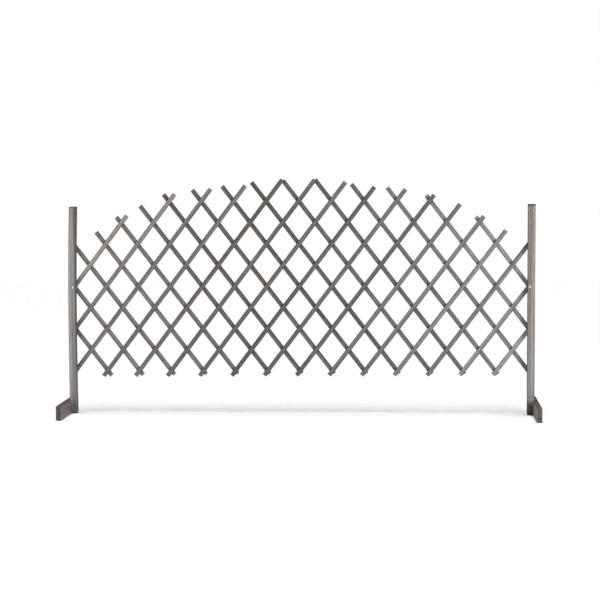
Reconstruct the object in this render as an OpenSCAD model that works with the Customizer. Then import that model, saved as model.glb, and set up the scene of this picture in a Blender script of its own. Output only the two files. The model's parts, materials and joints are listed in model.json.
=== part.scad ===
// Free-standing expanding trellis panel in stained wood.
// A scissor lattice of riveted slats, cut to an arch along its top, hangs between two square posts.
// Each post stands in the housing of a foot board that runs from front to back.
// Millimetres, +Z up, +X along the panel, the viewer's side is -Y, the origin lies on the floor
// midway between the feet. The lattice is drawn fully opened.

/* [Overall] */
// Width over the two posts with the lattice fully opened
open_w = 1800; // [1600:10:1900]
// Height of the two pivot bolts above the floor
pivot_h = 494; // [470:1:560]

/* [Slats] */
// Width of a slat, seen from the front
slat_w = 17.5; // [12:0.5:19]
// Thickness of a slat
slat_t = 6; // [4:0.5:9]
// Distance between two rivets along a slat
pivot_pitch = 103.5; // [95:0.5:112]
// How far a slat that ends behind a post runs past its last pivot there
slat_tail = 18; // [12:1:22]
// Bevel on the long edges of a slat
slat_bevel = 0.8; // [0.3:0.1:1.5]
// Gap between the front and the back layer of slats
layer_gap = 0.3; // [0.2:0.1:0.8]

/* [Posts] */
// Side of the square post
post_w = 28; // [24:1:36]
// Height of the top of a post above the floor
post_top = 807; // [700:1:900]
// Height of the bottom end of a post above the floor
post_lift = 4; // [3:1:18]
// Bevel on the edges of a post
post_bevel = 1.2; // [0.5:0.1:2.5]
// How far the pivot bolt sits inboard of the middle of the post
pivot_inset = 6; // [0:0.5:7]

/* [Feet] */
// Length of a foot board from front to back
foot_len = 304; // [220:2:420]
// How far the post stands behind the middle of its foot
foot_nose = 34; // [0:1:40]
// Thickness of a foot board
foot_t = 20; // [16:1:28]
// Height of a foot board
foot_h = 56; // [52:1:80]
// Depth of the housing in the foot that takes the post
foot_housing = 5; // [2:0.5:8]
// Bevel on the upper corners of a foot board
foot_bevel = 3; // [1:0.5:8]
// Height of the lower foot screw above the floor
foot_screw_h = 24; // [20:1:30]
// Distance between the two screws of a foot
foot_screw_gap = 22; // [14:1:24]

/* [Rivets] */
// Diameter of a rivet
rivet_d = 2.4; // [2:0.1:3.2]
// Diameter of the rivet's domed head
rivet_head_d = 5.5; // [4:0.1:7]
// Height of the rivet's domed head
rivet_head_h = 1.1; // [0.6:0.1:1.3]
// Diameter of the rivet's clenched tail
rivet_tail_d = 4.2; // [3.4:0.1:6]
// Height of the rivet's clenched tail
rivet_tail_h = 0.8; // [0.5:0.1:1.5]

/* [Pivot bolts] */
// Diameter of a pivot bolt
bolt_d = 5; // [4:0.5:6]
// Diameter of the bolt's round head
bolt_head_d = 9.5; // [8:0.5:12]
// Height of the bolt's round head
bolt_head_h = 3; // [2:0.1:4]
// How far the bolt runs past its nut
bolt_end = 2; // [1:0.5:4]
// Diameter of a washer
washer_d = 12; // [10:0.5:15]
// Thickness of a washer
washer_t = 1.6; // [1.5:0.1:2.4]
// Nut width across its flats
nut_w = 8; // [7.5:0.5:11]
// Thickness of the nut
nut_t = 4; // [3:0.5:6]

/* [Foot screws] */
// Diameter of a foot screw
screw_d = 3.5; // [3:0.1:4.5]
// Diameter of the countersunk head
screw_head_d = 7; // [6:0.1:9]
// How deep the screw goes into the post
screw_bite = 18; // [10:1:20]
// Length of the screw's point
screw_point = 4; // [2:0.5:6]

/* [Fits] */
// Radial clearance where a slat turns on a rivet or a bolt
running_fit = 0.08; // [0.04:0.01:0.1]
// Radial clearance of a fastener in wood that it holds fast
tight_fit = 0.02; // [0.01:0.01:0.05]
// Play under the clenched tail of a rivet
rivet_play = 0.1; // [0.05:0.05:0.3]
// Play at each side of a post in its housing
housing_play = 0.1; // [0.05:0.05:0.3]

/* [Hidden] */
$fn = 48;
// Small overlap that keeps cuts clear of faces
cut = 1;

// The lattice is a grid of half pitches: column m counts from the left bolt, row n from the bottom rivets,
// and the slats cross where m + n is even.
columns = 28;
bolt_row = 4;
pivot_edge = post_w / 2 + pivot_inset;
half_x = (open_w - 2 * pivot_edge) / columns;
half_z = sqrt(pivot_pitch * pivot_pitch - half_x * half_x);
lean = acos(half_x / pivot_pitch);

function pivot_x(m) = (m - columns / 2) * half_x;
function pivot_z(n) = pivot_h + (n - bolt_row) * half_z;

// Cut list of the slats: those of the front layer from the left post to the right one, and those of the back
// layer, which lean the other way, from the right post to the left one. It says how many pivots a slat has,
// how far it runs past the topmost to draw the arch, and how far past the bottom rivet.
slat_pivots = [4, 7, 9, 9, 9, 9, 9, 9, 9, 9, 8, 8, 7, 7, 5, 3];
front_tops = [38, 37, 61, 76, 104, 103, 90, 66, 54, 26, 84, 26, 61];
back_tops = [23, 24, 62, 80, 103, 100, 92, 74, 57, 36, 84, 31, 61];
front_bottoms = [26, 25, 25, 24, 23, 21, 21, 20, 20, 19, 19, 17, 17];
back_bottoms = [13, 12, 12, 12, 12, 12, 12, 13, 14, 17, 19, 22, 25];
slat_count = len(slat_pivots);
// The first slats of each layer start behind a post instead of at the bottom
post_slats = slat_count - len(front_bottoms);

// Slat i starts on column first_m and row first_n, and its pivots keep to one diagonal of the grid.
function diagonal(i) = 2 * i - bolt_row;
function first_m(i) = max(0, diagonal(i));
function first_n(i) = max(0, -diagonal(i));
function top_end(i, tops) = i < len(tops) ? tops[i] : slat_tail;
function bottom_end(i, bottoms) = i < post_slats ? slat_tail : bottoms[i - post_slats];

// The pivots of the two layers mirror each other. A front slat is crossed at column m and row n
// where the back slat of that diagonal reaches row n too.
function reaches(i, n) = i >= 0 && i < slat_count && n >= first_n(i) && n < first_n(i) + slat_pivots[i];
function crossed(m, n) = reaches((columns - m - n + bolt_row) / 2, n);
function bolted(m, n) = n == bolt_row && (m == 0 || m == columns);

// Depths from front to back: post, spacer washer, front layer, back layer, washer and nut.
post_front = foot_nose - post_w / 2;
post_back = foot_nose + post_w / 2;
front_y = post_back + washer_t + slat_t / 2;
back_y = front_y + slat_t + layer_gap;
stack_end = back_y + slat_t / 2;

// Post and foot on the left side; the right side mirrors them.
post_x = -open_w / 2 + post_w / 2;
post_len = post_top - post_lift;
foot_x = -open_w / 2 + foot_housing - foot_t / 2;
foot_outer = foot_x - foot_t / 2;
screw_cone = (screw_head_d - screw_d) / 2;
screw_len = foot_t - foot_housing + screw_bite;

slat_brown = "#8b837b";
post_grey = "#958d86";
foot_brown = "#6f6862";
zinc = "#c9cbcc";
nail_grey = "#77736f";

function two_digits(i) = i < 10 ? str("0", i) : str(i);
function numbered(name, i) = str(name, "_", two_digits(i + 1));
SLATS = [0 : slat_count - 1];
SIDES = ["post", "foot", "foot_screws", "pivot_bolt", "pivot_washers", "pivot_nut"];

// Rectangle with bevelled corners, centred
module bevelled(size, bevel) {
    x = size[0] / 2;
    y = size[1] / 2;
    polygon([
        [-x + bevel, -y], [x - bevel, -y], [x, -y + bevel], [x, y - bevel],
        [x - bevel, y], [-x + bevel, y], [-x, y - bevel], [-x, -y + bevel]
    ]);
}

// Half outline of a low dome on the base line, turned round the vertical axis by its user
module dome_outline(d, h) {
    r = (d * d / 4 + h * h) / (2 * h);
    intersection() {
        translate([0, h - r]) circle(r, $fn = 96);
        square([d / 2, h]);
    }
}

// Turns what stands along +Z to stand along +Y, at a place in the panel
module along_depth(x, y, z) {
    translate([x, y, z]) rotate([-90, 0, 0]) children();
}

// One slat of the cut list, its middle plane on y = 0, drilled at every crossing
module slat(i, tops, bottoms, rivet_fit) {
    tail = bottom_end(i, bottoms);
    slat_len = tail + (slat_pivots[i] - 1) * pivot_pitch + top_end(i, tops);
    translate([pivot_x(first_m(i)), 0, pivot_z(first_n(i))]) rotate([0, -lean, 0]) difference() {
        translate([-tail, 0, 0]) rotate([90, 0, 90])
            linear_extrude(slat_len) bevelled([slat_t, slat_w], slat_bevel);
        for (step = [0 : slat_pivots[i] - 1]) {
            m = first_m(i) + step;
            n = first_n(i) + step;
            hole_d = bolted(m, n) ? bolt_d + 2 * running_fit : rivet_d + 2 * rivet_fit;
            if (crossed(m, n)) along_depth(step * pivot_pitch, -slat_t / 2 - cut, 0)
                cylinder(d = hole_d, h = slat_t + 2 * cut);
        }
    }
}

module front_slat(i) {
    color(slat_brown) translate([0, front_y, 0]) slat(i, front_tops, front_bottoms, tight_fit);
}

// The back layer leans the other way: counted from the left, it runs through the cut list in reverse
module back_slat(i) {
    color(slat_brown) translate([0, back_y, 0])
        mirror([1, 0, 0]) slat(slat_count - 1 - i, back_tops, back_bottoms, running_fit);
}

// Domed head against the front layer, shank through both layers, tail clenched behind the back one
module rivet() {
    shank = stack_end - front_y + slat_t / 2 + rivet_play;
    rotate_extrude() {
        mirror([0, 1]) dome_outline(rivet_head_d, rivet_head_h);
        square([rivet_d / 2, shank]);
        translate([0, shank]) dome_outline(rivet_tail_d, rivet_tail_h);
    }
}

// All rivets that are driven through one front slat
module rivets(i) {
    color(nail_grey) for (step = [0 : slat_pivots[i] - 1]) {
        m = first_m(i) + step;
        n = first_n(i) + step;
        if (crossed(m, n) && !bolted(m, n))
            along_depth(pivot_x(m), front_y - slat_t / 2, pivot_z(n)) rivet();
    }
}

// Screw along -X from the foot's outer face into the post, with a flush countersunk head
module foot_screw(grow) {
    rotate([0, 90, 0]) {
        cylinder(d1 = screw_head_d + 2 * grow, d2 = screw_d + 2 * grow, h = screw_cone);
        cylinder(d = screw_d + 2 * grow, h = screw_len - screw_point);
        translate([0, 0, screw_len - screw_point])
            cylinder(d1 = screw_d + 2 * grow, d2 = screw_d / 4 + 2 * grow, h = screw_point + grow);
    }
}

module place_foot_screws() {
    for (z = [foot_screw_h, foot_screw_h + foot_screw_gap]) translate([foot_outer, foot_nose, z]) children();
}

module left_foot_screws() {
    color(zinc) place_foot_screws() foot_screw(0);
}

// Square post, bevelled along its edges and round its top, drilled for the bolt and the foot screws
module left_post() {
    color(post_grey) difference() {
        translate([post_x, foot_nose, post_lift]) intersection() {
            linear_extrude(post_len) bevelled([post_w, post_w], post_bevel);
            rotate([90, 0, 0]) linear_extrude(post_w + cut, center = true) post_side();
            rotate([90, 0, 90]) linear_extrude(post_w + cut, center = true) post_side();
        }
        along_depth(pivot_x(0), post_front - cut, pivot_h)
            cylinder(d = bolt_d + 2 * tight_fit, h = post_w + 2 * cut);
        place_foot_screws() foot_screw(tight_fit);
    }
}

// Side view of a post with its top edges bevelled
module post_side() {
    half = post_w / 2;
    polygon([
        [-half, 0], [half, 0], [half, post_len - post_bevel], [half - post_bevel, post_len],
        [-half + post_bevel, post_len], [-half, post_len - post_bevel]
    ]);
}

// Foot board on edge, with a stopped housing in its inner face that takes the post and carries its end
module left_foot() {
    half = foot_len / 2;
    housing_w = post_w + 2 * housing_play;
    color(foot_brown) difference() {
        translate([foot_x, 0, 0]) rotate([90, 0, 90]) linear_extrude(foot_t, center = true) polygon([
            [-half, 0], [half, 0], [half, foot_h - foot_bevel], [half - foot_bevel, foot_h],
            [-half + foot_bevel, foot_h], [-half, foot_h - foot_bevel]
        ]);
        translate([-open_w / 2, foot_nose - housing_w / 2, post_lift])
            cube([foot_housing + cut, housing_w, foot_h]);
        place_foot_screws() foot_screw(tight_fit);
    }
}

// Round-headed bolt from the front of the post through both slats to the nut behind them
module left_pivot_bolt() {
    bolt_len = stack_end + washer_t + nut_t + bolt_end - post_front;
    color(zinc) along_depth(pivot_x(0), post_front, pivot_h) rotate_extrude() {
        mirror([0, 1]) dome_outline(bolt_head_d, bolt_head_h);
        square([bolt_d / 2, bolt_len]);
    }
}

// Spacer washer that keeps the rivet heads off the post, and the washer under the nut
module left_pivot_washers() {
    color(zinc) for (y = [post_back, stack_end]) along_depth(pivot_x(0), y, pivot_h) difference() {
        cylinder(d = washer_d, h = washer_t);
        translate([0, 0, -cut]) cylinder(d = bolt_d + 2 * running_fit, h = washer_t + 2 * cut);
    }
}

module left_pivot_nut() {
    color(zinc) along_depth(pivot_x(0), stack_end + washer_t, pivot_h) difference() {
        cylinder(d = nut_w / cos(30), h = nut_t, $fn = 6);
        translate([0, 0, -cut]) cylinder(d = bolt_d + 2 * tight_fit, h = nut_t + 2 * cut);
    }
}

// The right side is the left one seen in a mirror
module right_post() { mirror([1, 0, 0]) left_post(); }
module right_foot() { mirror([1, 0, 0]) left_foot(); }
module right_foot_screws() { mirror([1, 0, 0]) left_foot_screws(); }
module right_pivot_bolt() { mirror([1, 0, 0]) left_pivot_bolt(); }
module right_pivot_washers() { mirror([1, 0, 0]) left_pivot_washers(); }
module right_pivot_nut() { mirror([1, 0, 0]) left_pivot_nut(); }

left_post();
left_foot();
left_foot_screws();
left_pivot_bolt();
left_pivot_washers();
left_pivot_nut();
right_post();
right_foot();
right_foot_screws();
right_pivot_bolt();
right_pivot_washers();
right_pivot_nut();
for (i = SLATS) {
    front_slat(i);
    back_slat(i);
    rivets(i);
}
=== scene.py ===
import json
import math
import random

import bmesh
import bpy
from mathutils import Euler, Matrix, Vector


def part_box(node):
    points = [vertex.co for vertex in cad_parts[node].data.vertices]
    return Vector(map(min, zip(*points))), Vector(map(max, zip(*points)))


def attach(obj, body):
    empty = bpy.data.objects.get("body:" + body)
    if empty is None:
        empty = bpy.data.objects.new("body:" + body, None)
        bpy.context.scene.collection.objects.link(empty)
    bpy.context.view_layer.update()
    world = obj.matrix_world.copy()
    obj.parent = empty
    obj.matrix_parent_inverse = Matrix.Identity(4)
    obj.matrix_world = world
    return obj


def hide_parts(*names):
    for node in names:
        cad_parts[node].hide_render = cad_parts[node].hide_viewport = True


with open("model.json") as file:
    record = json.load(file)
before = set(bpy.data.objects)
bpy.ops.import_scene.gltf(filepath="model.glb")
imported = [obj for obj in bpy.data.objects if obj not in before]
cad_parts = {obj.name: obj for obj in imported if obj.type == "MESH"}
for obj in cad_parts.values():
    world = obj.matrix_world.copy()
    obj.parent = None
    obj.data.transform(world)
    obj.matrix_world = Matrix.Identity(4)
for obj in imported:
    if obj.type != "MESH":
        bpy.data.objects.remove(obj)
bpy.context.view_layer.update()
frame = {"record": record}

# Foot boards
# Each post stands in a short board of sawn fir set on edge, darker than the rest.
# A stopped housing in the inner face takes the post; the arrises and the cut ends are dark and worn.
FOOT_EDGE = 0.0026
FOOT_RING_STEP = 0.010
FOOT_ROWS = {"Rows Across": 9, "Rows Deep": 13}
FOOT_WEAR = 0.0011
FOOT_PIECE = {"left": 40.0, "right": 41.0}
FOOT_TINT = (0.8, 1.0, 0.5)
HOUSING_PLAY = 0.0001
DENT_WAVES = (26.0, 40.0, 40.0)
SWAY_WAVES = (2.2, 1.0, 1.0)
SAWN_SHARP = math.radians(40)
KNOTS_PER_METRE = 21.0
KNOT_CHANCE = 0.2
KNOT_FLOW = 0.007
PITH_SPREAD = 0.13
RING_WANDER = 0.018
GRAIN_DEPTH = 0.0004
CHECK_COLOUR = (0.012, 0.010, 0.009, 1.0)
LOW_COOL_TINT = (0.94, 1.0, 1.06, 1.0)
LOW_COOL_REACH = 0.9
SIDE_SKIN = 0.0005
SIDE_FADE = 0.0012
SIDES = ("left", "right")
BODIES = frame["record"]["behaviour"]["bodies"]
NODE_BODY = {node: body for body, nodes in BODIES.items() for node in nodes}


def add(tree, kind, inputs=None, **settings):
    """One node of a tree; an input is given a constant or the socket that feeds it."""
    node = tree.nodes.new(kind)
    for name, value in settings.items():
        setattr(node, name, value)
    for key, value in (inputs or {}).items():
        if isinstance(value, bpy.types.NodeSocket):
            tree.links.new(value, node.inputs[key])
        else:
            node.inputs[key].default_value = value
    return node


def calc(tree, operation, *values):
    """The result of a sum on numbers or sockets."""
    return add(tree, "ShaderNodeMath", dict(enumerate(values)), operation=operation).outputs[0]


def vector_calc(tree, operation, *values):
    """The result of a sum on vectors."""
    return add(tree, "ShaderNodeVectorMath", dict(enumerate(values)), operation=operation).outputs[0]


def vector(tree, x, y, z):
    """A vector put together from three numbers or sockets."""
    return add(tree, "ShaderNodeCombineXYZ", {0: x, 1: y, 2: z}).outputs[0]


def ramp(tree, value, low, high):
    """Nought below low, one above high, with a smooth step between them."""
    ends = {"Value": value, "From Min": low, "From Max": high}
    return add(tree, "ShaderNodeMapRange", ends, interpolation_type="SMOOTHSTEP").outputs[0]


def noise(tree, place, stretch, detail, seed=None):
    """Noise whose waves per metre are given along, across and through the grain."""
    inputs = {"Vector": vector_calc(tree, "MULTIPLY", place, stretch), "Scale": 1.0, "Detail": detail}
    if seed is None:
        return add(tree, "ShaderNodeTexNoise", inputs).outputs[0]
    return add(tree, "ShaderNodeTexNoise", {**inputs, "W": seed}, noise_dimensions="4D").outputs[0]


def group(name, kind, inputs, outputs):
    """An empty node group with its named sockets: the tree, what comes in and what goes out."""
    tree = bpy.data.node_groups.new(name, kind)
    for in_out, sockets in (("INPUT", inputs), ("OUTPUT", outputs)):
        for socket, socket_type in sockets.items():
            tree.interface.new_socket(socket, in_out=in_out, socket_type="NodeSocket" + socket_type)
    return tree, tree.nodes.new("NodeGroupInput").outputs, tree.nodes.new("NodeGroupOutput").inputs


def dress(tree, shape, material, result):
    """Ends a geometry tree: one real mesh with its material."""
    whole = add(tree, "GeometryNodeRealizeInstances", {"Geometry": shape}).outputs[0]
    dressed = add(tree, "GeometryNodeSetMaterial", {"Geometry": whole, "Material": material})
    tree.links.new(dressed.outputs[0], result)


def sawn_board():
    """A board along X, its width along Y, with rounded and dented arrises.
    It can sway across its width and bow in its depth."""
    tree, size, result = group(
        "sawn_board",
        "GeometryNodeTree",
        {
            "Length": "Float", "Width": "Float", "Thickness": "Float", "Edge Radius": "Float",
            "Ring Step": "Float", "Rows Across": "Int", "Rows Deep": "Int", "Wear": "Float",
            "Sway": "Float", "Bow": "Float", "Seed": "Float", "Material": "Material",
        },
        {"Geometry": "Geometry"},
    )
    steps = calc(tree, "ROUND", calc(tree, "DIVIDE", size["Length"], size["Ring Step"]))
    step = calc(tree, "DIVIDE", size["Length"], steps)
    block = add(tree, "GeometryNodeMeshCube", {
        "Size": vector(tree, size["Length"], 2.0, 2.0),
        "Vertices X": calc(tree, "ADD", steps, 1.0),
        "Vertices Y": size["Rows Across"],
        "Vertices Z": size["Rows Deep"],
    })
    half_length = calc(tree, "MULTIPLY", size["Length"], 0.5)
    half_width = calc(tree, "MULTIPLY", size["Width"], 0.5)
    half_depth = calc(tree, "MULTIPLY", size["Thickness"], 0.5)
    half = vector(tree, half_length, half_width, half_depth)
    place = add(tree, "GeometryNodeInputPosition").outputs[0]
    x, y, z = add(tree, "ShaderNodeSeparateXYZ", {0: place}).outputs

    # The last ring but one moves out to the edge of the cut end, and the rows gather towards the arrises
    is_end = calc(tree, "GREATER_THAN", calc(tree, "ABSOLUTE", x),
                  calc(tree, "SUBTRACT", half_length, calc(tree, "MULTIPLY", step, 0.5)))
    stretch = calc(tree, "DIVIDE", calc(tree, "SUBTRACT", half_length, size["Edge Radius"]),
                   calc(tree, "SUBTRACT", half_length, step))
    choice = {"Switch": is_end, "False": stretch, "True": 1.0}
    stretched = add(tree, "GeometryNodeSwitch", choice, input_type="FLOAT")
    gather_y = calc(tree, "SINE", calc(tree, "MULTIPLY", y, math.pi / 2))
    gather_z = calc(tree, "SINE", calc(tree, "MULTIPLY", z, math.pi / 2))
    square_cut = vector(
        tree,
        calc(tree, "MULTIPLY", x, stretched.outputs[0]),
        calc(tree, "MULTIPLY", half_width, gather_y),
        calc(tree, "MULTIPLY", half_depth, gather_z),
    )

    # Arrises rounded to the edge radius, then knocked back where a dent falls
    radius = size["Edge Radius"]
    core = vector_calc(tree, "SUBTRACT", half, vector(tree, radius, radius, radius))
    core_low = vector_calc(tree, "MULTIPLY", core, (-1.0, -1.0, -1.0))
    inner = vector_calc(tree, "MINIMUM", vector_calc(tree, "MAXIMUM", square_cut, core_low), core)
    outward = vector_calc(tree, "SUBTRACT", square_cut, inner)
    _, out_y, out_z = add(tree, "ShaderNodeSeparateXYZ", {0: outward}).outputs
    arris = calc(tree, "DIVIDE", calc(tree, "ABSOLUTE", calc(tree, "MULTIPLY", out_y, out_z)),
                 calc(tree, "MULTIPLY", radius, radius))
    dents = ramp(tree, noise(tree, square_cut, DENT_WAVES, 2.0, size["Seed"]), 0.42, 0.8)
    depth = calc(tree, "MULTIPLY", calc(tree, "MULTIPLY", arris, dents), size["Wear"])
    reach = vector(tree, *[calc(tree, "SUBTRACT", radius, depth)] * 3)
    rounded = vector_calc(tree, "ADD", inner,
                          vector_calc(tree, "MULTIPLY", vector_calc(tree, "NORMALIZE", outward), reach))
    wander = noise(tree, vector(tree, x, 0.0, 0.0), SWAY_WAVES, 1.0, size["Seed"])
    aside = calc(tree, "MULTIPLY", calc(tree, "SUBTRACT", wander, 0.5), size["Sway"])
    share = calc(tree, "ADD", calc(tree, "DIVIDE", x, size["Length"]), 0.5)
    bowed = calc(tree, "MULTIPLY", calc(tree, "POWER", share, 3.0), size["Bow"])
    swayed = vector_calc(tree, "ADD", rounded, vector(tree, 0.0, aside, bowed))
    shape = add(tree, "GeometryNodeSetPosition", {"Geometry": block.outputs[0], "Position": swayed})
    dress(tree, shape.outputs[0], size["Material"], result["Geometry"])
    return tree


def grown(tree, values, sharp_angle):
    """The plain mesh that a geometry tree makes of these values."""
    carrier = bpy.data.objects.new("carrier", bpy.data.meshes.new("carrier"))
    bpy.context.scene.collection.objects.link(carrier)
    modifier = carrier.modifiers.new("tree", "NODES")
    modifier.node_group = tree
    for socket in tree.interface.items_tree:
        if socket.in_out == "INPUT":
            modifier[socket.identifier] = values[socket.name]
    depsgraph = bpy.context.evaluated_depsgraph_get()
    mesh = bpy.data.meshes.new_from_object(carrier.evaluated_get(depsgraph), depsgraph=depsgraph,
                                           preserve_all_data_layers=True)
    bpy.data.objects.remove(carrier)
    mesh.shade_smooth()
    mesh.set_sharp_from_angle(angle=sharp_angle)
    return mesh


def mark_wood(mesh, place, size, tint):
    """Each point keeps its place in the board, half the board's size, and the piece's tint:
    its number, how warm it is, how light it is with any painted shade, and how dark its cut ends and the
    damp and painted shadow at its lower end are."""
    to_board = place.inverted()
    count = len(mesh.vertices)
    places = [number for point in mesh.vertices for number in to_board @ point.co]
    mesh.attributes.new("grain", "FLOAT_VECTOR", "POINT").data.foreach_set("vector", places)
    halves = list(Vector(size) / 2) * count
    mesh.attributes.new("half", "FLOAT_VECTOR", "POINT").data.foreach_set("vector", halves)
    mesh.attributes.new("tint", "FLOAT_COLOR", "POINT").data.foreach_set("color", list(tint) * count)


def fit_piece(mesh, node):
    """Puts a finished mesh in the place of a node, on that node's body."""
    piece = bpy.data.objects.new(node + "_finished", mesh)
    mesh.name = piece.name
    bpy.context.scene.collection.objects.link(piece)
    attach(piece, NODE_BODY[node])
    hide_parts(node)


def wood_figure():
    """Growth rings, fibres, pin knots and drying checks of fir, cut anew for each piece."""
    tree, inlet, outlet = group(
        "wood_figure",
        "ShaderNodeTree",
        {"Grain": "Vector", "Piece": "Float", "Ring Width": "Float"},
        {"Latewood": "Float", "Fibre": "Float", "Knot": "Float", "Check": "Float"},
    )
    piece = inlet["Piece"]
    log_place = vector(tree, calc(tree, "MULTIPLY", piece, 7.3), calc(tree, "MULTIPLY", piece, 1.9),
                       calc(tree, "MULTIPLY", piece, 1.3))
    place = vector_calc(tree, "ADD", inlet["Grain"], log_place)

    # Pin knots in some of the places where one could be, and the rings' flow round them
    cells = add(tree, "ShaderNodeTexVoronoi", {"Vector": place, "Scale": KNOTS_PER_METRE})
    near = cells.outputs["Distance"]
    lot = add(tree, "ShaderNodeSeparateColor", {0: cells.outputs["Color"]}).outputs[0]
    chosen = calc(tree, "GREATER_THAN", lot, 1.0 - KNOT_CHANCE)
    knot = calc(tree, "MULTIPLY", chosen, calc(tree, "SUBTRACT", 1.0, ramp(tree, near, 0.05, 0.11)))
    flow = calc(tree, "MULTIPLY", chosen, calc(tree, "SUBTRACT", 1.0, ramp(tree, near, 0.0, 0.42)))

    # Growth rings round a pith that lies in another place for each piece
    pith = add(tree, "ShaderNodeTexWhiteNoise", {"W": piece}, noise_dimensions="1D").outputs["Color"]
    pith = vector_calc(tree, "SUBTRACT", pith, (0.5, 0.5, 0.5))
    pith = vector_calc(tree, "MULTIPLY", pith, (0.0, PITH_SPREAD, PITH_SPREAD))
    bend = noise(tree, place, (1.7, 16.0, 16.0), 2.0)
    from_pith = vector_calc(tree, "ADD", inlet["Grain"], pith)
    from_pith = vector_calc(tree, "MULTIPLY", from_pith, (0.0, 1.0, 1.0))
    reach = add(tree, "ShaderNodeVectorMath", {0: from_pith}, operation="LENGTH").outputs["Value"]
    reach = calc(tree, "ADD", reach, calc(tree, "MULTIPLY", bend, RING_WANDER))
    reach = calc(tree, "ADD", reach, calc(tree, "MULTIPLY", flow, KNOT_FLOW))
    years = calc(tree, "FRACT", calc(tree, "DIVIDE", reach, inlet["Ring Width"]))
    late = calc(tree, "POWER", years, 3.0)

    # Coarse and fine fibres
    coarse = noise(tree, place, (19.0, 520.0, 520.0), 4.0)
    fine = noise(tree, place, (85.0, 2300.0, 2300.0), 2.0)
    fibre = calc(tree, "ADD", calc(tree, "MULTIPLY", coarse, 0.6), calc(tree, "MULTIPLY", fine, 0.4))
    fibre = ramp(tree, fibre, 0.32, 0.68)

    # Thin drying checks where the wood is driest
    line = calc(tree, "ABSOLUTE", calc(tree, "SUBTRACT", noise(tree, place, (4.5, 260.0, 260.0), 1.0), 0.5))
    dry = ramp(tree, noise(tree, place, (6.0, 45.0, 45.0), 1.0), 0.58, 0.68)
    check = calc(tree, "MULTIPLY", dry, calc(tree, "SUBTRACT", 1.0, ramp(tree, line, 0.004, 0.016)))

    for name, value in {"Latewood": late, "Fibre": fibre, "Knot": knot, "Check": check}.items():
        tree.links.new(value, outlet[name])
    return tree


def stain_streaks():
    """How unevenly the stain took: fine streaks and broad bands with the grain, and soft clouds."""
    tree, inlet, outlet = group(
        "stain_streaks",
        "ShaderNodeTree",
        {"Grain": "Vector", "Piece": "Float"},
        {"Streak": "Float", "Band": "Float", "Cloud": "Float"},
    )
    piece = inlet["Piece"]
    shift = vector(tree, calc(tree, "MULTIPLY", piece, 3.1), calc(tree, "MULTIPLY", piece, 0.7), 0.0)
    place = vector_calc(tree, "ADD", inlet["Grain"], shift)
    tree.links.new(ramp(tree, noise(tree, place, (2.6, 150.0, 150.0), 3.0), 0.36, 0.66), outlet["Streak"])
    tree.links.new(ramp(tree, noise(tree, place, (1.1, 80.0, 80.0), 2.0), 0.34, 0.66), outlet["Band"])
    tree.links.new(ramp(tree, noise(tree, place, (6.5, 22.0, 22.0), 3.0), 0.3, 0.7), outlet["Cloud"])
    return tree


def board_edges():
    """Masks of where the wood is darker: the arrises, the cut ends, two opposite faces with painted shade,
    and a lower end with damp and painted shadow.
    """
    tree, inlet, outlet = group(
        "board_edges",
        "ShaderNodeTree",
        {
            "Grain": "Vector", "Half": "Vector",
            "Arris Reach": "Float", "End Reach": "Float", "Damp Reach": "Float",
        },
        {"Arris": "Float", "Ends": "Float", "Damp": "Float", "Sides": "Float"},
    )
    inside = vector_calc(tree, "SUBTRACT", inlet["Half"], vector_calc(tree, "ABSOLUTE", inlet["Grain"]))
    from_end, from_side, from_face = add(tree, "ShaderNodeSeparateXYZ", {0: inside}).outputs
    ragged = noise(tree, inlet["Grain"], (60.0, 400.0, 400.0), 3.0)
    spread = calc(tree, "ADD", 0.4, calc(tree, "MULTIPLY", ramp(tree, ragged, 0.3, 0.7), 1.2))
    from_arris = calc(tree, "MAXIMUM", from_side, from_face)
    worn = calc(tree, "MULTIPLY", inlet["Arris Reach"], spread)
    arris = calc(tree, "SUBTRACT", 1.0, ramp(tree, from_arris, 0.0, worn))
    sunk = calc(tree, "MULTIPLY", inlet["End Reach"], spread)
    ends = calc(tree, "SUBTRACT", 1.0, ramp(tree, from_end, calc(tree, "MULTIPLY", sunk, 0.45), sunk))
    tree.links.new(arris, outlet["Arris"])
    # Painted shade on the two faces at the ends of the board's depth
    tree.links.new(calc(tree, "SUBTRACT", 1.0, ramp(tree, from_face, SIDE_SKIN, SIDE_FADE)), outlet["Sides"])
    tree.links.new(ends, outlet["Ends"])
    # Painted shadow, with some damp, at the lower end
    from_low = vector_calc(tree, "ADD", inlet["Grain"], inlet["Half"])
    along = add(tree, "ShaderNodeSeparateXYZ", {0: from_low}).outputs[0]
    damp_shadow_spread = calc(tree, "MULTIPLY", inlet["Damp Reach"], spread)
    low_end = ramp(tree, along, calc(tree, "MULTIPLY", damp_shadow_spread, 0.3), damp_shadow_spread)
    tree.links.new(calc(tree, "SUBTRACT", 1.0, low_end), outlet["Damp"])
    return tree


FIGURE, STREAKS, EDGES = wood_figure(), stain_streaks(), board_edges()


def mixed(tree, amount, first, second, blend="MIX"):
    """Two colours mixed by an amount."""
    inputs = {0: amount, 6: first, 7: second}
    return add(tree, "ShaderNodeMix", inputs, data_type="RGBA", blend_type=blend).outputs[2]


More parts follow.
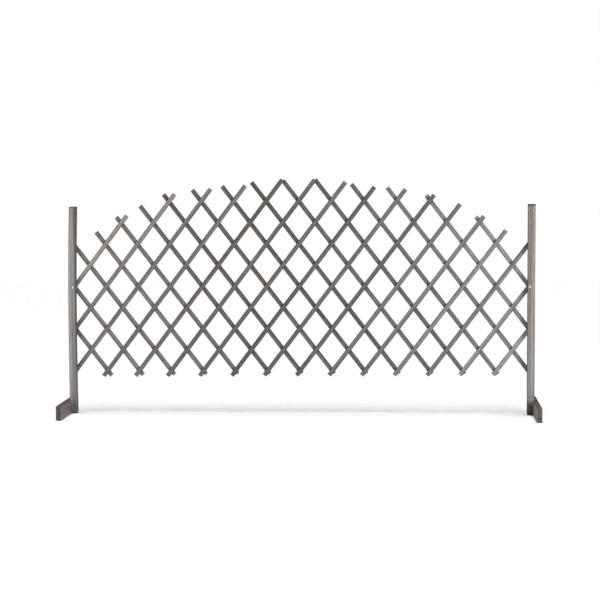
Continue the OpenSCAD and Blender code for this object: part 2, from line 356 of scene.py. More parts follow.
def stained_wood(name, pale, late, warm, dark, ring_width, arris_reach, end_reach, damp_shadow_reach,
                 arris_share, side_shade_share, low_cooling, bump):
    """Fir under a thin grey stain: pale and late wood, warm streaks, dark edges, knots and checks.
    It turns cooler towards the floor; painted shade lies on two faces and painted shadow with damp at the
    lower end."""
    material = bpy.data.materials.new(name)
    material.use_nodes = True
    tree = material.node_tree
    shader = tree.nodes["Principled BSDF"]
    grain = add(tree, "ShaderNodeAttribute", attribute_name="grain").outputs["Vector"]
    half = add(tree, "ShaderNodeAttribute", attribute_name="half").outputs["Vector"]
    tint = add(tree, "ShaderNodeAttribute", attribute_name="tint").outputs
    piece, warmth, tone_and_painted_shade = add(tree, "ShaderNodeSeparateXYZ", {0: tint["Vector"]}).outputs
    figure = add(tree, "ShaderNodeGroup", node_tree=FIGURE)
    streaks = add(tree, "ShaderNodeGroup", node_tree=STREAKS)
    edges = add(tree, "ShaderNodeGroup", node_tree=EDGES)
    for node in (figure, streaks, edges):
        tree.links.new(grain, node.inputs["Grain"])
    for node in (figure, streaks):
        tree.links.new(piece, node.inputs["Piece"])
    tree.links.new(half, edges.inputs["Half"])
    figure.inputs["Ring Width"].default_value = ring_width
    edges.inputs["Arris Reach"].default_value = arris_reach
    edges.inputs["End Reach"].default_value = end_reach
    edges.inputs["Damp Reach"].default_value = damp_shadow_reach

    # Rings, a warm blush, light and dark bands and a cooler tint low down, then all that is dark over them,
    # painted shade and shadow among it
    colour = mixed(tree, calc(tree, "MULTIPLY", figure.outputs["Latewood"], 0.8), pale, late)
    blush = calc(tree, "ADD", 0.15, calc(tree, "MULTIPLY", streaks.outputs["Cloud"], 1.25))
    drawn = calc(tree, "ADD", 0.3, calc(tree, "MULTIPLY", streaks.outputs["Streak"], 0.7))
    blush = calc(tree, "MULTIPLY", blush, drawn)
    colour = mixed(tree, calc(tree, "MULTIPLY", blush, warmth), colour, warm)
    lift = calc(tree, "ADD", 0.5, calc(tree, "MULTIPLY", figure.outputs["Fibre"], 0.36))
    lift = calc(tree, "ADD", lift, calc(tree, "MULTIPLY", streaks.outputs["Band"], 0.46))
    lift = calc(tree, "ADD", lift, calc(tree, "MULTIPLY", streaks.outputs["Cloud"], 0.12))
    # The piece's lightness, which carries painted shade on the slats
    lift = calc(tree, "MULTIPLY", lift, tone_and_painted_shade)
    colour = mixed(tree, 1.0, colour, vector(tree, lift, lift, lift), "MULTIPLY")
    place = add(tree, "ShaderNodeTexCoord").outputs["Object"]
    above_floor = add(tree, "ShaderNodeSeparateXYZ", {0: place}).outputs[2]
    # Cooler towards the floor
    near_floor = calc(tree, "SUBTRACT", 1.0, ramp(tree, above_floor, 0.0, LOW_COOL_REACH))
    colour = mixed(tree, calc(tree, "MULTIPLY", near_floor, low_cooling), colour, LOW_COOL_TINT, "MULTIPLY")
    colour = mixed(tree, calc(tree, "MULTIPLY", edges.outputs["Arris"], arris_share), colour, dark)
    # Painted shade on two opposite faces
    colour = mixed(tree, calc(tree, "MULTIPLY", edges.outputs["Sides"], side_shade_share), colour, dark)
    colour = mixed(tree, calc(tree, "MULTIPLY", edges.outputs["Ends"], tint["Alpha"]), colour, dark)
    # Painted shadow with some damp at the lower end, as deep as the tint's alpha
    damp_and_shadow = calc(tree, "MULTIPLY", edges.outputs["Damp"], tint["Alpha"])
    colour = mixed(tree, calc(tree, "MULTIPLY", damp_and_shadow, 0.95), colour, dark)
    colour = mixed(tree, calc(tree, "MULTIPLY", figure.outputs["Knot"], 0.8), colour, dark)
    colour = mixed(tree, calc(tree, "MULTIPLY", figure.outputs["Check"], 0.75), colour, CHECK_COLOUR)
    tree.links.new(colour, shader.inputs["Base Color"])

    # Late wood is closed and a little smoother than the open fibres
    dull = calc(tree, "ADD", 0.58, calc(tree, "MULTIPLY", figure.outputs["Fibre"], 0.3))
    tree.links.new(calc(tree, "SUBTRACT", dull, calc(tree, "MULTIPLY", figure.outputs["Latewood"], 0.1)),
                   shader.inputs["Roughness"])
    shader.inputs["Specular IOR Level"].default_value = 0.32

    # Fibres and rings stand up, and checks are sunk
    height = calc(tree, "MULTIPLY", figure.outputs["Fibre"], 0.55)
    height = calc(tree, "ADD", height, calc(tree, "MULTIPLY", figure.outputs["Latewood"], 0.25))
    height = calc(tree, "SUBTRACT", height, figure.outputs["Check"])
    relief = add(tree, "ShaderNodeBump", {"Strength": bump, "Distance": GRAIN_DEPTH, "Height": height})
    tree.links.new(relief.outputs[0], shader.inputs["Normal"])
    return material


def cut_away(mesh, cutters):
    """The mesh with the cutters' solids taken out of it."""
    board = bpy.data.objects.new("board", mesh)
    bpy.context.scene.collection.objects.link(board)
    tools = []
    for cutter in cutters:
        tool = bpy.data.objects.new("cutter", cutter)
        bpy.context.scene.collection.objects.link(tool)
        modifier = board.modifiers.new("cut", "BOOLEAN")
        modifier.object = tool
        modifier.operation = "DIFFERENCE"
        modifier.solver = "EXACT"
        tools.append(tool)
    depsgraph = bpy.context.evaluated_depsgraph_get()
    result = bpy.data.meshes.new_from_object(board.evaluated_get(depsgraph), depsgraph=depsgraph,
                                             preserve_all_data_layers=True)
    for used in [board, *tools]:
        bpy.data.objects.remove(used)
    return result


def box_mesh(low, high):
    """A plain block between two corners."""
    mesh = bpy.data.meshes.new("box")
    shape = bmesh.new()
    bmesh.ops.create_cube(shape, size=1.0)
    shape.transform(Matrix.Translation((low + high) / 2) @ Matrix.Diagonal((*(high - low), 1.0)))
    shape.to_mesh(mesh)
    shape.free()
    return mesh


BOARD = sawn_board()
# Its top and bottom faces carry painted shade
foot_wood = stained_wood(
    "foot_wood", pale=(0.245, 0.22, 0.207, 1.0), late=(0.12, 0.106, 0.097, 1.0),
    warm=(0.225, 0.172, 0.15, 1.0), dark=(0.03, 0.026, 0.024, 1.0),
    ring_width=0.0042, arris_reach=0.0035, end_reach=0.0012, damp_shadow_reach=0.0001,
    arris_share=0.75, side_shade_share=0.65, low_cooling=0.0, bump=0.7,
)
ALONG_Y = Euler((0.0, 0.0, math.pi / 2)).to_matrix().to_4x4()
for side in SIDES:
    low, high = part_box(side + "_foot")
    size = high - low
    foot_mesh = grown(BOARD, {
        "Length": size.y, "Width": size.x, "Thickness": size.z, "Edge Radius": FOOT_EDGE,
        "Ring Step": FOOT_RING_STEP, **FOOT_ROWS, "Wear": FOOT_WEAR, "Sway": 0.0, "Bow": 0.0,
        "Seed": FOOT_PIECE[side], "Material": foot_wood,
    }, SAWN_SHARP)
    place = Matrix.Translation((low + high) / 2) @ ALONG_Y
    foot_mesh.transform(place)
    post_low, post_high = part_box(side + "_post")
    play = Vector((HOUSING_PLAY, HOUSING_PLAY, 0.0))
    foot_mesh = cut_away(foot_mesh, [box_mesh(post_low - play, post_high + play)])
    foot_mesh.set_sharp_from_angle(angle=SAWN_SHARP)
    mark_wood(foot_mesh, place, (size.y, size.x, size.z), (FOOT_PIECE[side], *FOOT_TINT))
    fit_piece(foot_mesh, side + "_foot")

# Foot screws
# Two countersunk screws of zinc-plated steel go through each foot into its post.
# The heads lie flush with the outer face; they are pressed with a cross recess and a little dull.
SCREW_SIDES = 20
SCREW_HEAD = 0.0035
SCREW_RIM = 0.0002
SCREW_SHANK = 0.00175
SCREW_SINK = 0.00175
SCREW_PLAIN = 0.012
SCREW_THREAD = 0.00025
SCREW_PITCH = 0.0012
SCREW_POINT = 0.004
SCREW_TAPER = 0.0008
SCREW_TIP = 0.0001
SCREW_COUNT = 2
INWARD = {"left": 1.0, "right": -1.0}
TURNED_SHARP = math.radians(32)
RECESS_LENGTH = 0.0022
RECESS_WIDTH = 0.00045
RECESS_DEPTH = 0.0011


def turned(outline, sides, across_flats=None):
    """A solid turned round Z from (radius, height) points: from axis to axis, or closed as a ring.
    With a size across flats it is cut to a hexagon."""
    shape = bmesh.new()
    rings = []
    for radius, height in outline:
        if radius == 0.0:
            rings.append([shape.verts.new((0.0, 0.0, height))])
            continue
        ring = []
        for k in range(sides):
            angle = 2 * math.pi * k / sides
            reach = radius
            if across_flats and radius > across_flats / 2 - 1e-6:
                off_flat = (angle + math.pi / 6) % (math.pi / 3) - math.pi / 6
                reach = min(radius, across_flats / 2 / math.cos(off_flat))
            ring.append(shape.verts.new((reach * math.cos(angle), reach * math.sin(angle), height)))
        rings.append(ring)
    if outline[0][0] > 0.0:
        rings.append(rings[0])
    for low, high in zip(rings, rings[1:]):
        for k in range(sides):
            near_low, far_low = low[k % len(low)], low[(k + 1) % len(low)]
            near_high, far_high = high[k % len(high)], high[(k + 1) % len(high)]
            shape.faces.new(list(dict.fromkeys([near_low, far_low, far_high, near_high])))
    bmesh.ops.recalc_face_normals(shape, faces=shape.faces)
    mesh = bpy.data.meshes.new("turned")
    shape.to_mesh(mesh)
    shape.free()
    mesh.shade_smooth()
    mesh.set_sharp_from_angle(angle=TURNED_SHARP)
    return mesh


def dome(radius, height, base, steps):
    """Half outline of a low dome from its rim on the base line to the axis."""
    ball = (radius * radius + height * height) / (2 * height)
    rim = math.asin(radius / ball)
    turns = (rim * (1 - k / steps) for k in range(1, steps))
    points = [(ball * math.sin(a), base + ball * math.cos(a) - ball + height) for a in turns]
    return [(radius, base), *points, (0.0, base + height)]


def row_of_pieces():
    """One piece repeated at even steps from a first place to a last one."""
    tree, inlet, result = group(
        "row_of_pieces",
        "GeometryNodeTree",
        {"First": "Vector", "Last": "Vector", "Count": "Int", "Piece": "Object", "Material": "Material"},
        {"Geometry": "Geometry"},
    )
    line = add(tree, "GeometryNodeMeshLine", {"Count": inlet["Count"], "Start Location": inlet["First"],
                                              "Offset": inlet["Last"]}, mode="END_POINTS")
    piece = add(tree, "GeometryNodeObjectInfo", {"Object": inlet["Piece"]}).outputs["Geometry"]
    row = add(tree, "GeometryNodeInstanceOnPoints", {"Points": line.outputs[0], "Instance": piece})
    dress(tree, row.outputs[0], inlet["Material"], result["Geometry"])
    return tree


def row_mesh(mesh, turn, first, last, count, material):
    """The mesh of a row of like pieces, each turned to lie along its own axis."""
    mesh.transform(turn)
    pattern = bpy.data.objects.new("pattern", mesh)
    bpy.context.scene.collection.objects.link(pattern)
    values = {"First": first, "Last": last, "Count": count, "Piece": pattern, "Material": material}
    row = grown(ROW, values, TURNED_SHARP)
    bpy.data.objects.remove(pattern)
    return row


def metal_scuffs():
    """Fine scratches and soft tarnish on small hardware."""
    tree, inlet, outlet = group(
        "metal_scuffs",
        "ShaderNodeTree",
        {"Place": "Vector", "Density": "Float"},
        {"Scratch": "Float", "Tarnish": "Float"},
    )
    hair = noise(tree, inlet["Place"], (900.0, 5200.0, 2100.0), 2.0)
    edge = calc(tree, "SUBTRACT", 0.75, calc(tree, "MULTIPLY", inlet["Density"], 0.2))
    tree.links.new(ramp(tree, hair, edge, 0.8), outlet["Scratch"])
    clouds = noise(tree, inlet["Place"], (320.0, 320.0, 320.0), 3.0)
    tree.links.new(ramp(tree, clouds, 0.38, 0.66), outlet["Tarnish"])
    return tree


def scuffed_metal(name, bright, dull, rust, smooth, rough, density, metallic):
    """Steel with tarnished patches, a trace of rust and fine scratches."""
    material = bpy.data.materials.new(name)
    material.use_nodes = True
    tree = material.node_tree
    shader = tree.nodes["Principled BSDF"]
    place = add(tree, "ShaderNodeTexCoord").outputs["Object"]
    scuffs = add(tree, "ShaderNodeGroup", node_tree=SCUFFS)
    tree.links.new(place, scuffs.inputs["Place"])
    scuffs.inputs["Density"].default_value = density
    colour = mixed(tree, scuffs.outputs["Tarnish"], bright, dull)
    rusted = ramp(tree, noise(tree, place, (140.0, 140.0, 140.0), 4.0), 0.6, 0.72)
    colour = mixed(tree, calc(tree, "MULTIPLY", rusted, 0.6), colour, rust)
    tree.links.new(colour, shader.inputs["Base Color"])
    scratch, tarnish = scuffs.outputs["Scratch"], scuffs.outputs["Tarnish"]
    worn = add(tree, "ShaderNodeMapRange", {"Value": tarnish, "To Min": smooth, "To Max": rough})
    matt = calc(tree, "ADD", worn.outputs[0], calc(tree, "MULTIPLY", scratch, 0.12))
    tree.links.new(matt, shader.inputs["Roughness"])
    bare = calc(tree, "MULTIPLY", calc(tree, "SUBTRACT", 1.0, rusted), metallic)
    tree.links.new(bare, shader.inputs["Metallic"])
    relief = add(tree, "ShaderNodeBump", {"Strength": 0.4, "Distance": 0.0002, "Height": scratch})
    tree.links.new(relief.outputs[0], shader.inputs["Normal"])
    return material


ROW, SCUFFS = row_of_pieces(), metal_scuffs()
zinc_steel = scuffed_metal(
    "zinc_steel", bright=(0.72, 0.73, 0.74, 1.0), dull=(0.5, 0.5, 0.5, 1.0),
    rust=(0.16, 0.075, 0.04, 1.0), smooth=0.22, rough=0.42, density=0.5, metallic=1.0,
)


def thread(radius, ridge, pitch, start, end):
    """Half outline of a screw thread as close ridges."""
    count = int((end - start) / pitch)
    return [(radius - ridge * (step % 2), start + step * pitch / 2) for step in range(2 * count + 1)]


for side, inward in INWARD.items():
    low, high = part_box(side + "_foot_screws")
    length = high.x - low.x
    body = length - SCREW_POINT
    screw_mesh = turned([
        (0.0, 0.0), (SCREW_HEAD - SCREW_RIM, 0.0), (SCREW_HEAD, SCREW_RIM),
        (SCREW_SHANK, SCREW_SINK + SCREW_RIM),
        *thread(SCREW_SHANK, SCREW_THREAD, SCREW_PITCH, SCREW_PLAIN, body),
        (SCREW_SHANK * 0.8, body + SCREW_TAPER), (SCREW_SHANK / 4, length - SCREW_TIP), (0.0, length),
    ], SCREW_SIDES)
    level_arm = Vector((RECESS_LENGTH, RECESS_WIDTH, RECESS_DEPTH))
    upright_arm = Vector((RECESS_WIDTH, RECESS_LENGTH, RECESS_DEPTH))
    screw_mesh = cut_away(screw_mesh, [box_mesh(-arm, arm) for arm in (level_arm, upright_arm)])
    middle = (low.y + high.y) / 2
    outer = low.x if inward > 0 else high.x
    first, last = (Vector((outer, middle, z)) for z in (low.z + SCREW_HEAD, high.z - SCREW_HEAD))
    turn = Euler((0.0, inward * math.pi / 2, 0.0)).to_matrix().to_4x4()
    screws = row_mesh(screw_mesh, turn, first, last, SCREW_COUNT, zinc_steel)
    fit_piece(screws, side + "_foot_screws")

# Posts
# Two square posts planed from fir, stained a lighter grey than the feet, with the arrises taken off.
# The grain runs up the post; the sawn top end has drunk more stain, and the timber has dried and checked.
POST_EDGE = 0.0016
POST_RING_STEP = 0.012
POST_ROWS = {"Rows Across": 9, "Rows Deep": 9}
POST_WEAR = 0.0008
POST_DENTS = {"left": 50.0, "right": 51.0}
POST_TINT = {"left": (50.0, 0.8, 1.07, 0.5), "right": (53.0, 1.15, 0.94, 1.0)}
POST_BOW = {"left": -0.012, "right": 0.0}
# Its two side faces carry painted shade, and its lower end a painted shadow of the foot with some damp
post_wood = stained_wood(
    "post_wood", pale=(0.306, 0.294, 0.284, 1.0), late=(0.166, 0.156, 0.148, 1.0),
    warm=(0.238, 0.198, 0.176, 1.0), dark=(0.035, 0.031, 0.029, 1.0),
    ring_width=0.0048, arris_reach=0.0026, end_reach=0.007, damp_shadow_reach=0.06,
    arris_share=0.12, side_shade_share=0.6, low_cooling=1.0, bump=0.6,
)
ALONG_Z = Euler((0.0, -math.pi / 2, 0.0)).to_matrix().to_4x4()
for side in SIDES:
    low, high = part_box(side + "_post")
    size = high - low
    post_mesh = grown(BOARD, {
        "Length": size.z, "Width": size.y, "Thickness": size.x, "Edge Radius": POST_EDGE,
        "Ring Step": POST_RING_STEP, **POST_ROWS, "Wear": POST_WEAR, "Sway": 0.0, "Bow": POST_BOW[side],
        "Seed": POST_DENTS[side], "Material": post_wood,
    }, SAWN_SHARP)
    place = Matrix.Translation((low + high) / 2) @ ALONG_Z
    post_mesh.transform(place)
    mark_wood(post_mesh, place, (size.z, size.y, size.x), POST_TINT[side])
    fit_piece(post_mesh, side + "_post")

# Slats
# Thirty-two thin laths sawn from fir: sixteen lean right in the front layer, sixteen lean left behind them.
# Each is cut square to its own length, so that together the upper ends draw the arch.
SLAT_EDGE = 0.0011
SLAT_RING_STEP = 0.011
SLAT_ROWS = {"Rows Across": 9, "Rows Deep": 5}
SLAT_WEAR = 0.0005
SLAT_SWAY = 0.0012
SLAT_PLANED = 0.0003
SLAT_COUNT = 16
SLAT_END_DARK = 0.6
SLAT_WARMTH = 0.6
WARMER_LEFT = 0.35
WARMTH_SCATTER = 0.4
SLAT_SHADE = 1.14
LIGHTER_LEFT = 0.05
# Painted shade that darkens the slats in the middle of the panel
MIDDLE_PAINTED_SHADE = 0.54
PAINTED_SHADE_FOCUS = 1.6
SHADE_SCATTER = 0.09
# Painted shadow beside the crossings
CROSSING_SHADOW = 0.6
CROSSING_SHADOW_RIGHT = 0.25
CROSSING_SHADOW_SCATTER = 0.15
CROSSING_SHADOW_COLOUR = (0.03, 0.027, 0.025, 1.0)
CHANCE_SEED = 10
LAYER_LEAN = {"front": -1.0, "back": 1.0}
LAYER_SHADE = {"front": 1.0, "back": 0.8}
PIECES_BEFORE = {"front": 0, "back": SLAT_COUNT}
HALF_SPAN = 0.9
RIVET_HEAD = 0.00275
RIVET_PITCH = 0.1035
LAP = 0.009
slat_wood = stained_wood(
    "slat_wood", pale=(0.276, 0.27, 0.267, 1.0), late=(0.155, 0.15, 0.147, 1.0),
    warm=(0.218, 0.168, 0.144, 1.0), dark=(0.046, 0.043, 0.04, 1.0),
    ring_width=0.0034, arris_reach=0.003, end_reach=0.0015, damp_shadow_reach=0.0001,
    arris_share=0.8, side_shade_share=0.0, low_cooling=1.0, bump=0.55,
)


def slat_size(node):
    """Length and width of a slat that leans at the lattice's angle, from its box."""
    low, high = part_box(node)
    wide, tall = high.x - low.x, high.z - low.z
    sine, cosine = math.sin(LEAN), math.cos(LEAN)
    spread = sine * sine - cosine * cosine
    return (tall * sine - wide * cosine) / spread, (wide * sine - tall * cosine) / spread


def paint_crossing_shadow(material, dark):
    """Painted shadow that the front laths cast on the back ones: a dark band just above each crossing, on
    the face towards the other layer.
    """
    tree = material.node_tree
    base = tree.nodes["Principled BSDF"].inputs["Base Color"]
    grain = add(tree, "ShaderNodeAttribute", attribute_name="grain").outputs["Vector"]
    ledge = add(tree, "ShaderNodeAttribute", attribute_name="ledge").outputs["Vector"]
    along, _, deep = add(tree, "ShaderNodeSeparateXYZ", {0: grain}).outputs
    crossing, facing, amount = add(tree, "ShaderNodeSeparateXYZ", {0: ledge}).outputs
    rise = calc(tree, "MULTIPLY", calc(tree, "SUBTRACT", crossing, along), facing)
    rise = calc(tree, "MULTIPLY", calc(tree, "FRACT", calc(tree, "DIVIDE", rise, RIVET_PITCH)), RIVET_PITCH)
    shadow_wander = noise(tree, grain, (30.0, 260.0, 260.0), 2.0)
    reach = calc(tree, "MULTIPLY", LAP, calc(tree, "ADD", 1.2, shadow_wander))
    shadow_band = calc(tree, "SUBTRACT", ramp(tree, rise, LAP * 0.5, LAP * 0.8), ramp(tree, rise, LAP, reach))
    inner = ramp(tree, calc(tree, "MULTIPLY", deep, facing), 0.0, 0.002)
    amount = calc(tree, "MULTIPLY", amount, calc(tree, "MULTIPLY", shadow_band, inner))
    tree.links.new(mixed(tree, amount, base.links[0].from_socket, dark), base)


paint_crossing_shadow(slat_wood, CROSSING_SHADOW_COLOUR)
rivet_low, rivet_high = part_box("rivets_05")
LEAN = math.atan2(rivet_high.z - rivet_low.z - 2 * RIVET_HEAD, rivet_high.x - rivet_low.x - 2 * RIVET_HEAD)
chance = random.Random(CHANCE_SEED)
for layer, leans in LAYER_LEAN.items():
    for number in range(1, SLAT_COUNT + 1):
        node = f"{layer}_slat_{number:02d}"
        low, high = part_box(node)
        length, width = slat_size(node)
        width -= 2 * SLAT_PLANED
        thickness = high.y - low.y
        piece = float(PIECES_BEFORE[layer] + number)
        slat_mesh = grown(BOARD, {
            "Length": length, "Width": width, "Thickness": thickness, "Edge Radius": SLAT_EDGE,
            "Ring Step": SLAT_RING_STEP, **SLAT_ROWS, "Wear": SLAT_WEAR, "Sway": SLAT_SWAY, "Bow": 0.0,
            "Seed": piece, "Material": slat_wood,
        }, SAWN_SHARP)
        turn = Euler((math.pi / 2, leans * LEAN, 0.0)).to_matrix().to_4x4()
        place = Matrix.Translation((low + high) / 2) @ turn
        slat_mesh.transform(place)

        # The tone of a slat goes with its place across the panel, with painted shade darkening the middle,
        # and chance scatters it
        across = (low.x + high.x) / (2 * HALF_SPAN)
        warmth = SLAT_WARMTH - WARMER_LEFT * across + chance.uniform(-WARMTH_SCATTER, WARMTH_SCATTER)
        tone_and_painted_shade = SLAT_SHADE - LIGHTER_LEFT * across - MIDDLE_PAINTED_SHADE * (1.0 - across * across) ** PAINTED_SHADE_FOCUS
        tone_and_painted_shade += chance.uniform(-SHADE_SCATTER, SHADE_SCATTER)
        tone_and_painted_shade *= LAYER_SHADE[layer]
        mark_wood(slat_mesh, place, (length, width, thickness), (piece, warmth, tone_and_painted_shade, SLAT_END_DARK))
        # Painted shadow beside each crossing, stronger towards the right, and chance scatters it
        crossing_shadow_amount = CROSSING_SHADOW + CROSSING_SHADOW_RIGHT * across + chance.uniform(-CROSSING_SHADOW_SCATTER, CROSSING_SHADOW_SCATTER)
        crossing_shades = (-across * HALF_SPAN / math.cos(LEAN), leans, crossing_shadow_amount) * len(slat_mesh.vertices)
        slat_mesh.attributes.new("ledge", "FLOAT_VECTOR", "POINT").data.foreach_set("vector", crossing_shades)
        fit_piece(slat_mesh, node)

# Rivets
# A soft steel rivet pins each crossing of two slats, painted over with the stain and worn dull.
# The low head lies on the front layer; the tail is clenched behind the back one.
RIVET_SIDES = 10
RIVET_HEAD_RISE = 0.0011
RIVET_SHANK = 0.0012
RIVET_TAIL = 0.0021
RIVET_TAIL_RISE = 0.0008
RIVET_HEAD_STEPS = 3
RIVET_TAIL_STEPS = 2
rivet_steel = scuffed_metal(
    "rivet_steel", bright=(0.2, 0.188, 0.18, 1.0), dull=(0.12, 0.112, 0.106, 1.0),
    rust=(0.12, 0.07, 0.045, 1.0), smooth=0.5, rough=0.7, density=0.8, metallic=0.3,
)
TO_DEPTH = Euler((-math.pi / 2, 0.0, 0.0)).to_matrix().to_4x4()
for number in range(1, SLAT_COUNT + 1):
    node = f"rivets_{number:02d}"
    low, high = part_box(node)
    shank = high.y - low.y - RIVET_HEAD_RISE - RIVET_TAIL_RISE
    cap = dome(RIVET_HEAD, RIVET_HEAD_RISE, 0.0, RIVET_HEAD_STEPS)
    head = [(radius, -height) for radius, height in cap]
    tail = dome(RIVET_TAIL, RIVET_TAIL_RISE, shank, RIVET_TAIL_STEPS)
    rivet_mesh = turned([*reversed(head), (RIVET_SHANK, 0.0), (RIVET_SHANK, shank), *tail], RIVET_SIDES)
    first = Vector((low.x + RIVET_HEAD, low.y + RIVET_HEAD_RISE, low.z + RIVET_HEAD))
    last = Vector((high.x - RIVET_HEAD, first.y, high.z - RIVET_HEAD))
    count = round((last - first).length / RIVET_PITCH) + 1
    rivets = row_mesh(rivet_mesh, TO_DEPTH, first, last, count, rivet_steel)
    fit_piece(rivets, node)

# Pivot bolts
# A round-headed bolt of zinc-plated steel holds each end of the lattice to its post.
# The smooth head shows bright on the front of the post; the threaded end stands out behind the nut.
BOLT_SIDES = 32
BOLT_HEAD_RISE = 0.003
BOLT_SHANK = 0.0025
BOLT_RIDGE = 0.0003
BOLT_PITCH = 0.0008
BOLT_THREAD = 0.022
BOLT_CHAMFER = 0.0006
BOLT_HEAD_STEPS = 8
for side in SIDES:
    low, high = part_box(side + "_pivot_bolt")
    middle = (low + high) / 2
    length = high.y - low.y - BOLT_HEAD_RISE
    plain = length - BOLT_THREAD
    cap = dome((high.x - low.x) / 2, BOLT_HEAD_RISE, 0.0, BOLT_HEAD_STEPS)
    head = [(radius, -height) for radius, height in cap]
    bolt_mesh = turned([
        *reversed(head), (BOLT_SHANK, 0.0), (BOLT_SHANK, plain),
        *thread(BOLT_SHANK, BOLT_RIDGE, BOLT_PITCH, plain + BOLT_PITCH / 2, length - BOLT_CHAMFER),
        (BOLT_SHANK * 0.8, length), (0.0, length),
    ], BOLT_SIDES)
    place = Vector((middle.x, low.y + BOLT_HEAD_RISE, middle.z))
    bolt_mesh = row_mesh(bolt_mesh, TO_DEPTH, place, place, 1, zinc_steel)
    fit_piece(bolt_mesh, side + "_pivot_bolt")

# Washers
# Each bolt carries two punched steel washers: one spaces the lattice off the post, one lies under the nut.
# The punch leaves one rounded and one sharp rim.
WASHER_SIDES = 40
WASHER_COUNT = 2
WASHER_THICKNESS = 0.0016
WASHER_BORE = 0.00258
WASHER_RIM = 0.0003
for side in SIDES:
    low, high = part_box(side + "_pivot_washers")
    middle = (low + high) / 2
    rim = (high.x - low.x) / 2
    washer_mesh = turned([
        (WASHER_BORE, 0.0), (rim, 0.0), (rim, WASHER_THICKNESS - WASHER_RIM),
        (rim - WASHER_RIM, WASHER_THICKNESS), (WASHER_BORE + WASHER_RIM, WASHER_THICKNESS),
        (WASHER_BORE, WASHER_THICKNESS - WASHER_RIM),
    ], WASHER_SIDES)
    first = Vector((middle.x, low.y, middle.z))
    last = Vector((middle.x, high.y - WASHER_THICKNESS, middle.z))
    washers = row_mesh(washer_mesh, TO_DEPTH, first, last, WASHER_COUNT, zinc_steel)
    fit_piece(washers, side + "_pivot_washers")

# Nuts
# A hexagon nut behind the lattice clamps each pivot bolt just so that the slats still turn.
# Its corners are chamfered at both faces.
NUT_SIDES = 48
NUT_FLATS = 0.008
NUT_CHAMFER = 0.0006
NUT_BORE = 0.00252
for side in SIDES:
    low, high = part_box(side + "_pivot_nut")
    middle = (low + high) / 2
    depth = high.y - low.y
    corner = NUT_FLATS / math.sqrt(3)
    nut_mesh = turned([
        (NUT_BORE, 0.0), (NUT_FLATS / 2, 0.0), (corner, NUT_CHAMFER), (corner, depth - NUT_CHAMFER),
        (NUT_FLATS / 2, depth), (NUT_BORE, depth),
    ], NUT_SIDES, NUT_FLATS)
    place = Vector((middle.x, low.y, middle.z))
    nut_mesh = row_mesh(nut_mesh, TO_DEPTH, place, place, 1, zinc_steel)
    fit_piece(nut_mesh, side + "_pivot_nut")

# Studio
# A pale matt floor, wide enough to meet the white backdrop, under plain soft light.
# One wide light hangs overhead, and a low softbox stands out in front of each post.
FLOOR_REACH = 7.0
FLOOR_COLOUR = (0.963, 0.963, 0.963, 1.0)
OVERHEAD_HEIGHT = 4.0
OVERHEAD_TILT = math.radians(7.5)
OVERHEAD_SPREAD = math.radians(36)
SOFTBOX_SIDE = 0.7
BACKDROP_GLOW = 0.03
floor_material = bpy.data.materials.new("floor")
floor_material.use_nodes = True
floor_tree = floor_material.node_tree
floor_shade = add(floor_tree, "ShaderNodeBsdfDiffuse", {"Color": FLOOR_COLOUR})
floor_tree.links.new(floor_shade.outputs[0], floor_tree.nodes["Material Output"].inputs["Surface"])
floor_mesh = bpy.data.meshes.new("floor")
floor_corners = [(x * FLOOR_REACH, y * FLOOR_REACH, 0.0) for x, y in ((-1, -1), (1, -1), (1, 1), (-1, 1))]
floor_mesh.from_pydata(floor_corners, [], [(0, 1, 2, 3)])
floor_mesh.materials.append(floor_material)
floor = bpy.data.objects.new("floor", floor_mesh)
bpy.context.scene.collection.objects.link(floor)


def light(name, kind, place, aim, **settings):
    """A lamp at a place, turned to shine at its aim."""
    lamp = bpy.data.lights.new(name, kind)
    for key, value in settings.items():
        setattr(lamp, key, value)
    holder = bpy.data.objects.new(name, lamp)
    holder.location = place
    holder.rotation_euler = (Vector(aim) - Vector(place)).to_track_quat("-Z", "Y").to_euler()
    bpy.context.scene.collection.objects.link(holder)


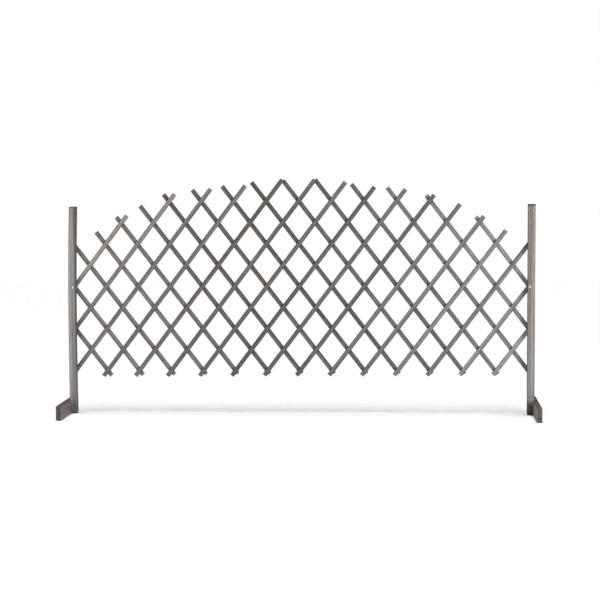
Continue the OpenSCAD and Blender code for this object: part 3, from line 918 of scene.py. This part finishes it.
overhead = OVERHEAD_HEIGHT * Vector((0.0, -math.sin(OVERHEAD_TILT), math.cos(OVERHEAD_TILT)))
light("overhead", "SUN", overhead, (0.0, 0.0, 0.0), energy=3.17, angle=OVERHEAD_SPREAD)
light("left_softbox", "AREA", (-2.0, -2.2, 0.36), (-0.6, 0.0, 0.5),
      energy=16.0, shape="RECTANGLE", size=SOFTBOX_SIDE, size_y=SOFTBOX_SIDE, color=(1.0, 0.985, 0.97))
light("right_softbox", "AREA", (2.2, -1.9, 0.36), (0.5, 0.0, 0.5),
      energy=33.0, shape="RECTANGLE", size=SOFTBOX_SIDE, size_y=SOFTBOX_SIDE, color=(0.98, 0.99, 1.0))

world = bpy.data.worlds.new("studio")
bpy.context.scene.world = world
world.use_nodes = True
backdrop = world.node_tree.nodes["Background"]
backdrop.inputs["Color"].default_value = (1.0, 1.0, 1.0, 1.0)
seen = add(world.node_tree, "ShaderNodeLightPath").outputs["Is Camera Ray"]
glow = add(world.node_tree, "ShaderNodeMapRange", {"Value": seen, "To Min": BACKDROP_GLOW, "To Max": 1.0})
world.node_tree.links.new(glow.outputs[0], backdrop.inputs["Strength"])
bpy.context.scene.view_settings.view_transform = "Standard"

# Camera
# It stands right of the middle, a little above the arch, and looks slightly down and to the left.
FOCAL_PIXELS = 1479.0
IMAGE_PIXELS = 600.0
CAMERA_PLACE = Vector((0.4203, -5.6228, 0.9275))
CAMERA_YAW = math.radians(4.21)
CAMERA_PITCH = math.radians(4.879)
CAMERA_ROLL = math.radians(-0.423)
lens = bpy.data.cameras.new("camera")
lens.sensor_width = 36.0
lens.lens = lens.sensor_width * FOCAL_PIXELS / IMAGE_PIXELS
camera = bpy.data.objects.new("camera", lens)
bpy.context.scene.collection.objects.link(camera)
facing = Euler((math.pi / 2 - CAMERA_PITCH, 0.0, CAMERA_YAW)).to_matrix()
facing = facing @ Matrix.Rotation(CAMERA_ROLL, 3, "Z")
camera.matrix_world = Matrix.Translation(CAMERA_PLACE) @ facing.to_4x4()
bpy.context.scene.camera = camera
